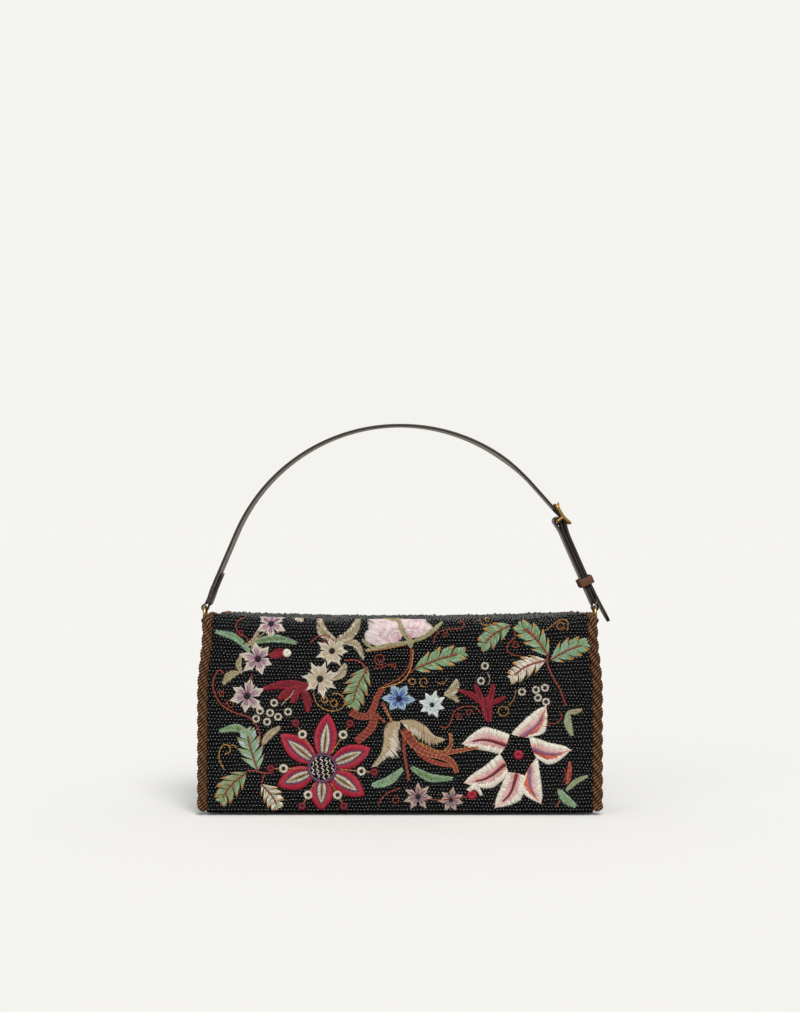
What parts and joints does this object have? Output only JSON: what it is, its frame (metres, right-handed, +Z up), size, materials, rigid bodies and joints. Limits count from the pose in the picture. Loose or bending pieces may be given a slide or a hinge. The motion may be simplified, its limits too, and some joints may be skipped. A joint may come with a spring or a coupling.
{
  "type": "embroidered shoulder bag",
  "caption": "Small box-shaped evening shoulder bag with a folded beaded and embroidered flap, twisted rope trim and a short buckled leather strap.",
  "frame": {"origin": "on the floor under the middle of the body, at the middle of its length and depth", "axes": "+Z up, +X to the viewer's right along the bag's length, -Y out of the flap's front"},
  "size_m": [0.2788, 0.0559, 0.262],
  "materials": {
    "black_cloth": "dull black cloth",
    "dark_leather": "smooth dark brown leather, satin",
    "tan_leather": "mid brown leather, satin",
    "lining_cloth": "plain brown cloth",
    "board": "plain stiffener board",
    "brass": "polished",
    "steel": "plain",
    "beaded_cloth": "black seed beads with embroidered flowers",
    "brown_rope": "twisted brown thread, glossy"
  },
  "bodies": {
    "bag": {"bag_shell": "black_cloth", "left_gusset": "dark_leather", "right_gusset": "dark_leather", "lining": "lining_cloth", "slip_pocket": "lining_cloth", "base_board": "board", "left_tab": "dark_leather", "right_tab": "dark_leather", "snap_socket": "brass", "snap_socket_washer": "steel"},
    "flap_top": {"flap_top_shell": "beaded_cloth", "flap_top_lining": "lining_cloth", "left_top_rope": "brown_rope", "right_top_rope": "brown_rope"},
    "flap_front": {"flap_front_shell": "beaded_cloth", "flap_board": "board", "flap_front_lining": "lining_cloth", "left_front_rope": "brown_rope", "right_front_rope": "brown_rope", "snap_stud": "brass"},
    "strap": {"left_ring": "brass", "right_ring": "brass", "main_strap": "dark_leather", "buckle_strap": "dark_leather", "buckle_frame": "brass"},
    "prong": {"buckle_prong": "brass"},
    "keeper": {"strap_keeper": "tan_leather"}
  },
  "joints": [
    {"name": "flap_lift", "type": "hinge", "parent": "bag", "child": "flap_top", "pos_m": [0, 0.022, 0.124], "axis": [-1, 0, 0], "range_deg": [0, 27]},
    {"name": "flap_fold", "type": "hinge", "parent": "flap_top", "child": "flap_front", "pos_m": [0, -0.0309, 0.124], "axis": [-1, 0, 0], "range_deg": [0, 130]},
    {"name": "strap_swing", "type": "hinge", "parent": "bag", "child": "strap", "pos_m": [0, 0, 0.1323], "axis": [-1, 0, 0], "range_deg": [-50, 55]},
    {"name": "prong_lift", "type": "hinge", "parent": "strap", "child": "prong", "pos_m": [0.107, 0, 0.1958], "axis": [0, 1, 0], "range_deg": [0, 12]},
    {"name": "keeper_slide", "type": "slide", "parent": "strap", "child": "keeper", "axis": [-0.4038, 0, 0.9148], "range_m": [-0.006, 0.01]}
  ]
}
